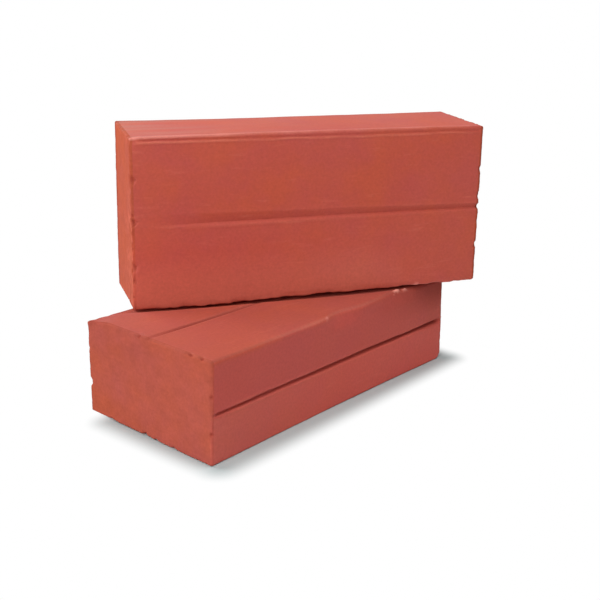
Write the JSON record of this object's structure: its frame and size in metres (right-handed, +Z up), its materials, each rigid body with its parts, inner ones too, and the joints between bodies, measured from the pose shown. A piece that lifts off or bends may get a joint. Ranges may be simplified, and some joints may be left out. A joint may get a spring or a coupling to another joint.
{
  "type": "clay bar",
  "caption": "Scored rectangular bars of firm red detailing clay, the upper standing on edge across the lower, kneaded and rubbed over wet paintwork to lift grime.",
  "frame": {"origin": "under the middle of the stack's outer box, on the surface that the lower bar lies on", "axes": "+X along the lower bar's length, +Y across its broad face away from its scored side, +Z up"},
  "size_m": [0.1104, 0.073, 0.0713],
  "materials": {
    "red_clay": "terracotta red putty, matt with a slight waxy sheen, paler along rubbed edges"
  },
  "bodies": {
    "lower_bar": {"lower_bar": "red_clay"},
    "upper_bar": {"upper_bar": "red_clay"}
  },
  "joints": [
    {"name": "upper_bar_lift", "type": "slide", "parent": "lower_bar", "child": "upper_bar", "axis": [0, 0, 1], "range_m": [0, 0.06]}
  ]
}
